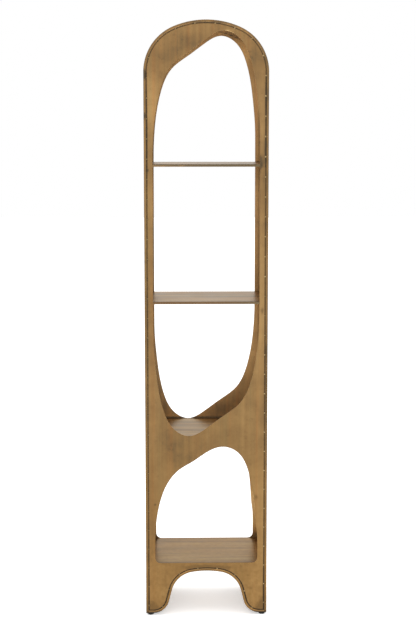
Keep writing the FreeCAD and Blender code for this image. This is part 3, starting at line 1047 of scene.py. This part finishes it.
@dataclass
class ScrewFeet:
    """The four feet: a rubber sole, a fluted knob and a threaded stud."""

    flutes: int = 20
    flute_columns: int = 4  # columns of points to a flute, the first half of them in it
    flute_depth: float = 0.7 * MM
    knob_bevel: float = 0.7 * MM
    knob_steps: int = 3  # steps in that rounding
    rim_share: float = 0.35  # width of the knob's rim beside its radius
    dish: float = 0.4 * MM  # depth of the dish in the knob's top
    pitch: float = 1.0 * MM
    thread_depth: float = 0.6 * MM
    thread_steps: int = 20  # steps in one turn of the thread
    # The thread's outline: steps out, in depths, and up, in pitches.
    profile: tuple[Row, ...] = ((0, 0.12), (1, 0.32), (0, 0.12), (-1, 0.32), (0, 0.12))
    spare_turns: int = 2  # turns that the cuts at the thread's ends take off
    thread_smooth: float = 25.0  # edges of the thread sharper than this angle stay sharp
    cut_near: float = 1e-7  # how near the thread's cut a point counts as on it
    shank_end: float = 2.0 * MM  # how much of the stud's end is measured for the shank
    spigot_end: float = 0.5 * MM  # how much of the spigot's end is measured
    head_sides: int = 6
    head_bevel: float = 0.4 * MM
    sole_sides: int = 64
    sole_bevel: float = 0.4 * MM
    grooves: int = 2  # grooves in the sole's underside
    ridge: float = 1.2 * MM  # width of the ridge outside a groove
    groove: float = 0.8 * MM
    groove_depth: float = 0.3 * MM  # depth of a groove and width of its slopes
    running_gap: float = 0.15 * MM  # clearance between the sole and what turns on it

    def measured(self) -> StudSizes:
        """Measures the CAD stud and the sole's spigot.

        Returns:
            Their sizes.
        """
        stud, sole = (f"{CORNERS[0]}_foot_{name}" for name in ("stud", "sole"))
        axis = middle(stud)
        low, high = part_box(stud)
        spigot_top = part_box(sole)[1].z

        def spread(node: str) -> list[Pair]:
            """Each point's distance from the axis, and its height."""
            points = [point.co for point in cad(node).data.vertices]
            return [(math.hypot(point.x - axis.x, point.y - axis.y), point.z) for point in points]

        flat = (high.y - low.y) / 2
        radius = max(far for far, z in spread(stud) if z > high.z - self.shank_end)
        head_top = max(z for far, z in spread(stud) if far > (radius + flat) / 2)
        spigot = max(far for far, z in spread(sole) if z > spigot_top - self.spigot_end)
        corner = max(far for far, z in spread(stud))
        return StudSizes(radius, flat, corner, low.z, head_top, high.z, spigot, spigot_top)

    def knob(self) -> Piece:
        """Models the knob about the vertical through the origin.

        Returns:
            The knob.
        """
        low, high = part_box(f"{CORNERS[0]}_foot_knob")
        radius = (high.x - low.x) / 2
        columns = self.flute_columns * self.flutes
        knob = start_cylinder("foot_knob", columns, radius, low.z, high.z)
        stud = self.measured()
        for up, deep in ((1, self.dish), (-1, stud.head_top - stud.low)):
            pick_end(knob, up)
            bpy.ops.mesh.inset(thickness=radius * self.rim_share)
            bpy.ops.mesh.inset(thickness=self.dish, depth=-deep)

        def on_rim(point: bmesh.types.BMVert) -> bool:
            """Whether a point lies on the knob's outside."""
            return math.hypot(point.co.x, point.co.y) > radius * (1 - self.rim_share / 2)

        def in_flute(point: bmesh.types.BMVert) -> bool:
            """Whether a column of the rim lies in a flute."""
            turn = math.atan2(point.co.y, point.co.x) / math.tau * columns
            return on_rim(point) and round(turn) % self.flute_columns < self.flute_columns / 2

        def round_rim(edge: bmesh.types.BMEdge) -> bool:
            """Whether an edge runs round the top or the bottom of the outside."""
            start, end = edge.verts
            return on_rim(start) and on_rim(end) and abs(start.co.z - end.co.z) < self.dish

        pick(knob, "VERT", in_flute)
        share = 1 - self.flute_depth / radius
        bpy.ops.transform.resize(value=(share, share, 1), center_override=(0, 0, 0))
        pick(knob, "EDGE", round_rim)
        bpy.ops.mesh.bevel(offset=self.knob_bevel, segments=self.knob_steps, affect="EDGES")
        return end_piece(knob)

    def sole(self) -> Piece:
        """Models the sole about the vertical through the origin.

        Returns:
            The sole.
        """
        low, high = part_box(f"{CORNERS[0]}_foot_sole")
        radius = (high.x - low.x) / 2
        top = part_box(f"{CORNERS[0]}_foot_knob")[0].z - self.running_gap
        sole = start_cylinder("foot_sole", self.sole_sides, radius, low.z, top)
        round_ends(sole, self.sole_bevel)
        pick_end(sole, -1)
        slope = self.groove_depth
        for wide, up in ((self.ridge, 0), (slope, -slope), (self.groove, 0), (slope, slope)) * self.grooves:
            bpy.ops.mesh.inset(thickness=wide, depth=up)
        pick_end(sole, 1)
        bpy.ops.mesh.inset(thickness=radius - self.sole_bevel - self.measured().spigot)
        raise_end(high.z - top)
        return end_piece(sole)

    def thread(self, size: StudSizes) -> Piece:
        """Models the screw thread: an outline turned up about the vertical and cut off at both ends.

        Args:
            size: What the CAD stud measures.

        Returns:
            The thread.
        """
        thread = start_piece(bpy.ops.mesh.primitive_plane_add, "foot_stud", size=self.pitch)
        pick(thread, "VERT", lambda point: point.index > 0)
        bpy.ops.mesh.delete(type="VERT")
        bpy.ops.mesh.select_all(action="SELECT")
        first = Vector((size.radius - self.thread_depth, 0, size.head_top - self.pitch))
        here = bmesh.from_edit_mesh(thread.data).verts[:][0].co.copy()
        bpy.ops.transform.translate(value=first - here)
        for out, up in self.profile:
            step = (out * self.thread_depth, 0, up * self.pitch)
            bpy.ops.mesh.extrude_vertices_move(TRANSFORM_OT_translate={"value": step})
        bpy.ops.object.mode_set(mode="OBJECT")
        bpy.ops.object.transform_apply(location=True, rotation=True, scale=True)
        screw = thread.modifiers.new("thread", "SCREW")
        screw.axis = "Z"
        screw.screw_offset = self.pitch
        screw.iterations = math.ceil((size.high - size.head_top) / self.pitch) + self.spare_turns
        screw.steps = screw.render_steps = self.thread_steps
        screw.use_merge_vertices = True
        screw.merge_threshold = DOUBLES
        bpy.ops.object.modifier_apply(modifier=screw.name)
        bpy.ops.object.mode_set(mode="EDIT")
        bpy.ops.mesh.select_all(action="SELECT")
        bpy.ops.mesh.remove_doubles(threshold=DOUBLES)
        for height, up in ((size.high, 1), (size.head_top, -1)):
            bpy.ops.mesh.select_all(action="SELECT")
            bpy.ops.mesh.bisect(plane_co=(0, 0, height), plane_no=(0, 0, up), use_fill=True, clear_outer=True,
                                threshold=self.cut_near)
        return end_piece(thread, self.thread_smooth)

    def stud(self) -> Piece:
        """Models the stud: a screw thread over a hex head with a socket for the sole's spigot.

        Returns:
            The stud.
        """
        size = self.measured()
        thread = self.thread(size)
        head = start_cylinder("foot_stud_head", self.head_sides, size.corner, size.low, size.head_top)
        round_ends(head, self.head_bevel)
        pick_end(head, -1)
        bpy.ops.mesh.inset(thickness=size.flat - self.head_bevel - size.spigot - self.running_gap)
        raise_end(size.spigot_top - size.low + self.running_gap)
        return join_pieces([thread, end_piece(head)], "foot_stud")

    def build(self) -> list[Piece]:
        """Models one foot and stands a copy of it under each corner.

        Returns:
            The twelve pieces and the four nuts.
        """
        plastic = BlackMoulding("Black plastic").material()
        rubber = BlackMoulding("Black rubber", rough=0.75, speck_size=0.4 * MM).material()
        zinc = ZincSteel().material()
        models = {
            "foot_knob": (self.knob(), plastic, Slot.PLASTIC, "screw"),
            "foot_sole": (self.sole(), rubber, Slot.RUBBER, "sole"),
            "foot_stud": (self.stud(), zinc, Slot.ZINC, "screw"),
        }
        made = []
        for corner in CORNERS:
            spot = middle(f"{corner}_foot_knob")
            at = Matrix.Translation((spot.x, spot.y, 0))
            for name, (model, material, slot, body) in models.items():
                piece = copy_to(model, f"{corner}_{name}_made", at)
                dress(piece, material)
                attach(piece, f"{corner}_{body}")
                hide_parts(f"{corner}_{name}")
                made.append(piece)
            made.append(dress(cad(f"{corner}_weld_nut"), zinc))
        for model, *_ in models.values():
            bpy.data.objects.remove(model)
        return made


@dataclass(frozen=True)
class SoftBox:
    """One soft rectangular light."""

    name: str
    place: Triple
    target: Triple
    wide: float
    tall: float
    glow: float  # how bright its face is, beside a white wall's 1


@dataclass
class Studio:
    """The floor, the soft light and the camera."""

    floor_side: float = 40.0
    # The floor's two pale tones.
    floor_colours: tuple[Colour, Colour] = ((0.93, 0.93, 0.93, 1), (0.91, 0.91, 0.905, 1))
    floor_cloud: Pair = (3.0, 3.0)  # the floor's clouds per metre, and how many finer layers they have
    floor_rough: float = 0.9
    floor_shine: float = 0.1  # how much the floor mirrors
    floor_glow: float = 0.5  # how much light the floor gives of its own, as a lit table does
    sky: float = 1.0  # strength of the backdrop's light
    eye: Triple = (-0.100811, -4.817004, 1.630527)  # where the camera stands
    pitch_degrees: float = 7.473  # how far it looks down
    yaw_degrees: float = 1.304  # how far it turns to the right
    lens_mm: float = 83.82  # its focal length, for 36 mm along the picture's long side
    sensor_mm: float = 36.0  # that long side
    lights: tuple[SoftBox, ...] = (
        SoftBox("key", (-0.4, -4.6, 2.9), (0, 0, 1.0), 2.8, 2.1, 2.7),
        SoftBox("low", (0.3, -5.2, 0.6), (0, 0, 0.3), 1.6, 1.0, 3.0),
        SoftBox("overhead", (0, -0.5, 4.6), (0, 0, 0), 4.0, 4.0, 1.5),
    )

    def floor(self) -> None:
        """Lays the plain pale floor."""
        floor = start_piece(bpy.ops.mesh.primitive_plane_add, "studio_floor", size=self.floor_side)
        bpy.ops.object.mode_set(mode="OBJECT")
        sheet = Surface("Pale floor")
        colour = sheet.blend(sheet.speckle(sheet.place, *self.floor_cloud), *self.floor_colours)
        dress(floor, sheet.finish({
            "Base Color": colour,
            "Roughness": self.floor_rough,
            "Specular IOR Level": self.floor_shine,
            "Emission Color": colour,
            "Emission Strength": self.floor_glow,
        }))

    def light(self, box: SoftBox) -> None:
        """Hangs one soft light, which the camera doesn't see.

        Args:
            box: The light.
        """
        lamp = bpy.data.lights.new(box.name, "AREA")
        lamp.shape = "RECTANGLE"
        lamp.size = box.wide
        lamp.size_y = box.tall
        lamp.energy = box.glow * math.pi * box.wide * box.tall
        lit = bpy.data.objects.new(box.name, lamp)
        lit.location = box.place
        lit.rotation_euler = (Vector(box.target) - Vector(box.place)).to_track_quat("-Z", "Y").to_euler()
        lit.visible_camera = False
        bpy.context.scene.collection.objects.link(lit)

    def backdrop(self) -> None:
        """Hangs a white backdrop all round."""
        world = bpy.data.worlds.new("backdrop")
        bpy.context.scene.world = world
        world.use_nodes = True
        lit = world.node_tree.nodes["Background"].inputs
        lit["Color"].default_value = (1, 1, 1, 1)
        lit["Strength"].default_value = self.sky

    def camera(self) -> None:
        """Stands the camera at the photograph's viewpoint."""
        lens = bpy.data.cameras.new("camera")
        lens.lens = self.lens_mm
        lens.sensor_width = self.sensor_mm
        lens.clip_end = 2 * self.floor_side
        camera = bpy.data.objects.new("camera", lens)
        camera.location = self.eye
        camera.rotation_euler = (math.radians(90 - self.pitch_degrees), 0, -math.radians(self.yaw_degrees))
        bpy.context.scene.collection.objects.link(camera)
        bpy.context.scene.camera = camera

    def build(self) -> None:
        """Sets up the floor, the lights and the camera."""
        self.floor()
        self.backdrop()
        for box in self.lights:
            self.light(box)
        self.camera()
        bpy.context.scene.view_settings.view_transform = "Standard"


def main() -> None:
    """Builds the rack's looks, sub-assembly by sub-assembly."""
    logging.basicConfig(level=logging.INFO, format="%(name)s: %(message)s")
    noise.seed_set(SEED)
    for part in (Panels(), Shelves(), TackWelds(), ScrewFeet()):
        for piece in part.build():
            log.info("%s: %s", type(part).__name__, piece.name)
    Studio().build()


if __name__ == "__main__":
    main()
